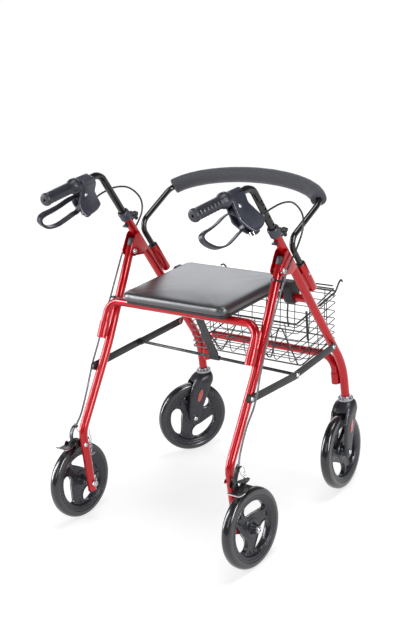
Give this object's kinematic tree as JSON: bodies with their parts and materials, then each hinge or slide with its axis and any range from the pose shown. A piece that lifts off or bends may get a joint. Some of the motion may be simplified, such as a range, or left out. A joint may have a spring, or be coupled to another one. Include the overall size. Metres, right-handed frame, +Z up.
{
  "type": "rollator walker",
  "caption": "Folding four-wheel walking frame with height-adjustable brake handles, padded seat, curved foam backrest and wire basket.",
  "frame": {"origin": "on the floor at the middle of the walker's length and width", "axes": "+Z up, +Y the way it is pushed, +X to the user's right"},
  "size_m": [0.6291, 0.676, 0.8922],
  "materials": {
    "backrest_pad": "closed-cell foam",
    "backrest_socket_l": "gloss candy red over steel",
    "backrest_socket_r": "gloss candy red over steel",
    "backrest_tube": "gloss black enamel",
    "basket": "coated wire",
    "basket_tube": "gloss candy red over steel",
    "brace_front_l": "satin black",
    "brace_front_r": "satin black",
    "brace_rear_l": "satin black",
    "brace_rear_r": "satin black",
    "brake_arm_l": "satin black",
    "brake_arm_r": "satin black",
    "brake_cable_lower_l": "cable jacket",
    "brake_cable_lower_r": "cable jacket",
    "brake_cable_upper_l": "cable jacket",
    "brake_cable_upper_r": "cable jacket",
    "brake_housing_l": "satin charcoal plastic",
    "brake_housing_r": "satin charcoal plastic",
    "brake_lever_l": "satin charcoal plastic",
    "brake_lever_r": "satin charcoal plastic",
    "caster_axle_l": "zinc plated",
    "caster_axle_r": "zinc plated",
    "caster_fork_l": "satin charcoal plastic",
    "caster_fork_r": "satin charcoal plastic",
    "cross_rod": "satin black",
    "fold_bolt_l": "zinc plated",
    "fold_bolt_r": "zinc plated",
    "fold_strap": "woven webbing",
    "front_leg_l": "gloss candy red over steel",
    "front_leg_r": "gloss candy red over steel",
    "front_rim_l": "satin charcoal plastic",
    "front_rim_r": "satin charcoal plastic",
    "front_tyre_l": "smooth black",
    "front_tyre_r": "smooth black",
    "grip_l": "soft charcoal",
    "grip_r": "soft charcoal",
    "handle_tube_l": "gloss black enamel",
    "handle_tube_r": "gloss black enamel",
    "height_knob_l": "satin black plastic",
    "height_knob_r": "satin black plastic",
    "hinge_bracket_l": "gloss candy red over steel",
    "hinge_bracket_r": "gloss candy red over steel",
    "hinge_tube": "gloss candy red over steel",
    "leg_cap_l": "satin charcoal plastic",
    "leg_cap_r": "satin charcoal plastic",
    "leg_collar_l": "satin charcoal plastic",
    "leg_collar_r": "satin charcoal plastic",
    "rear_axle_l": "zinc plated",
    "rear_axle_r": "zinc plated",
    "rear_leg_l": "gloss candy red over steel",
    "rear_leg_r": "gloss candy red over steel",
    "rear_rim_l": "satin charcoal plastic",
    "rear_rim_r": "satin charcoal plastic",
    "rear_tyre_l": "smooth black",
    "rear_tyre_r": "smooth black",
    "seat_board": "satin black plastic",
    "seat_pad": "soft vinyl",
    "seat_tube": "gloss candy red over steel",
    "stem_ring_l": "zinc plated",
    "stem_ring_r": "zinc plated"
  },
  "bodies": {
    "frame": {"front_leg_l": "front_leg_l", "front_leg_r": "front_leg_r", "hinge_bracket_l": "hinge_bracket_l", "hinge_bracket_r": "hinge_bracket_r", "fold_bolt_l": "fold_bolt_l", "fold_bolt_r": "fold_bolt_r", "basket_tube": "basket_tube", "hinge_tube": "hinge_tube", "backrest_socket_l": "backrest_socket_l", "backrest_socket_r": "backrest_socket_r", "leg_collar_l": "leg_collar_l", "leg_collar_r": "leg_collar_r"},
    "rear_frame": {"rear_leg_l": "rear_leg_l", "rear_leg_r": "rear_leg_r", "leg_cap_l": "leg_cap_l", "leg_cap_r": "leg_cap_r", "seat_tube": "seat_tube", "rear_axle_l": "rear_axle_l", "rear_axle_r": "rear_axle_r", "brake_cable_lower_l": "brake_cable_lower_l", "brake_cable_lower_r": "brake_cable_lower_r"},
    "seat": {"seat_board": "seat_board", "seat_pad": "seat_pad"},
    "backrest": {"backrest_tube": "backrest_tube", "backrest_pad": "backrest_pad"},
    "basket": {"basket": "basket"},
    "front_links": {"brace_front_l": "brace_front_l", "brace_front_r": "brace_front_r", "cross_rod": "cross_rod"},
    "rear_links": {"brace_rear_l": "brace_rear_l", "brace_rear_r": "brace_rear_r"},
    "strap": {"fold_strap": "fold_strap"},
    "handle_l": {"handle_tube_l": "handle_tube_l", "grip_l": "grip_l", "brake_housing_l": "brake_housing_l", "brake_cable_upper_l": "brake_cable_upper_l"},
    "lever_l": {"brake_lever_l": "brake_lever_l"},
    "knob_l": {"height_knob_l": "height_knob_l"},
    "brake_l": {"brake_arm_l": "brake_arm_l"},
    "rear_wheel_l": {"rear_rim_l": "rear_rim_l", "rear_tyre_l": "rear_tyre_l"},
    "caster_l": {"caster_fork_l": "caster_fork_l", "caster_axle_l": "caster_axle_l", "stem_ring_l": "stem_ring_l"},
    "front_wheel_l": {"front_rim_l": "front_rim_l", "front_tyre_l": "front_tyre_l"},
    "handle_r": {"handle_tube_r": "handle_tube_r", "grip_r": "grip_r", "brake_housing_r": "brake_housing_r", "brake_cable_upper_r": "brake_cable_upper_r"},
    "lever_r": {"brake_lever_r": "brake_lever_r"},
    "knob_r": {"height_knob_r": "height_knob_r"},
    "brake_r": {"brake_arm_r": "brake_arm_r"},
    "rear_wheel_r": {"rear_rim_r": "rear_rim_r", "rear_tyre_r": "rear_tyre_r"},
    "caster_r": {"caster_fork_r": "caster_fork_r", "caster_axle_r": "caster_axle_r", "stem_ring_r": "stem_ring_r"},
    "front_wheel_r": {"front_rim_r": "front_rim_r", "front_tyre_r": "front_tyre_r"}
  },
  "joints": [
    {"name": "fold", "type": "hinge", "parent": "frame", "child": "rear_frame", "pos_m": [0, 0.0215, 0.6535], "axis": [1, 0, 0], "range_deg": [0, 22]},
    {"name": "brace_front_fold", "type": "hinge", "parent": "frame", "child": "front_links", "pos_m": [0, 0.1961, 0.3938], "axis": [1, 0, 0], "range_deg": [-41, 0]},
    {"name": "brace_rear_fold", "type": "hinge", "parent": "rear_frame", "child": "rear_links", "pos_m": [0, -0.1528, 0.392], "axis": [1, 0, 0], "range_deg": [0, 35]},
    {"name": "seat_tilt", "type": "hinge", "parent": "frame", "child": "seat", "pos_m": [0, 0.142, 0.538], "axis": [1, 0, 0], "range_deg": [-46, 0]},
    {"name": "strap_swing", "type": "hinge", "parent": "front_links", "child": "strap", "pos_m": [0, 0.0308, 0.3877], "axis": [1, 0, 0], "range_deg": [0, 31]},
    {"name": "backrest_lift", "type": "slide", "parent": "frame", "child": "backrest", "axis": [0, -0.474, 0.8805], "range_m": [0, 0.025]},
    {"name": "basket_lift", "type": "slide", "parent": "frame", "child": "basket", "axis": [0, 0.8, 0.6], "range_m": [0, 0.12]},
    {"name": "handle_height_r", "type": "slide", "parent": "frame", "child": "handle_r", "axis": [0, -0.474, 0.8805], "range_m": [-0.05, 0.075], "deforming": ["brake_cable_upper_r"]},
    {"name": "brake_lever_turn_r", "type": "hinge", "parent": "handle_r", "child": "lever_r", "pos_m": [0.243, -0.118, 0.84796], "axis": [0.9336, 0, 0.3584], "range_deg": [-8, 20], "stiffness_Nm_per_rad": 2},
    {"name": "knob_turn_r", "type": "hinge", "parent": "frame", "child": "knob_r", "pos_m": [0.24, 0.04202, 0.73361], "axis": [0, 0.8805, 0.474], "continuous": true},
    {"name": "brake_arm_turn_r", "type": "hinge", "parent": "rear_frame", "child": "brake_r", "pos_m": [0.27, -0.249, 0.214], "axis": [1, 0, 0], "range_deg": [0, 8], "stiffness_Nm_per_rad": 3},
    {"name": "rear_wheel_spin_r", "type": "hinge", "parent": "rear_frame", "child": "rear_wheel_r", "pos_m": [0.282, -0.24, 0.1], "axis": [1, 0, 0], "continuous": true},
    {"name": "caster_swivel_r", "type": "hinge", "parent": "frame", "child": "caster_r", "pos_m": [0.24, 0.2504, 0.2], "axis": [0, 0, 1], "continuous": true},
    {"name": "front_wheel_spin_r", "type": "hinge", "parent": "caster_r", "child": "front_wheel_r", "pos_m": [0.24683, 0.19986, 0.1], "axis": [0.991, 0.134, 0], "continuous": true},
    {"name": "handle_height_l", "type": "slide", "parent": "frame", "child": "handle_l", "axis": [0, -0.474, 0.8805], "range_m": [-0.05, 0.075], "deforming": ["brake_cable_upper_l"]},
    {"name": "brake_lever_turn_l", "type": "hinge", "parent": "handle_l", "child": "lever_l", "pos_m": [-0.243, -0.118, 0.84796], "axis": [0.9336, 0, -0.3584], "range_deg": [-8, 20], "stiffness_Nm_per_rad": 2},
    {"name": "knob_turn_l", "type": "hinge", "parent": "frame", "child": "knob_l", "pos_m": [-0.24, 0.04202, 0.73361], "axis": [0, 0.8805, 0.474], "continuous": true},
    {"name": "brake_arm_turn_l", "type": "hinge", "parent": "rear_frame", "child": "brake_l", "pos_m": [-0.27, -0.249, 0.214], "axis": [1, 0, 0], "range_deg": [0, 8], "stiffness_Nm_per_rad": 3},
    {"name": "rear_wheel_spin_l", "type": "hinge", "parent": "rear_frame", "child": "rear_wheel_l", "pos_m": [-0.282, -0.24, 0.1], "axis": [1, 0, 0], "continuous": true},
    {"name": "caster_swivel_l", "type": "hinge", "parent": "frame", "child": "caster_l", "pos_m": [-0.24, 0.2504, 0.2], "axis": [0, 0, 1], "continuous": true},
    {"name": "front_wheel_spin_l", "type": "hinge", "parent": "caster_l", "child": "front_wheel_l", "pos_m": [-0.26434, 0.20558, 0.1], "axis": [0.8788, -0.4772, 0], "continuous": true}
  ],
  "couplings": [
    {"joint": "brace_front_fold", "follows": "fold", "ratio": -1.805},
    {"joint": "brace_rear_fold", "follows": "fold", "ratio": 1.527},
    {"joint": "seat_tilt", "follows": "fold", "ratio": -2.05},
    {"joint": "strap_swing", "follows": "fold", "ratio": 1.34}
  ]
}
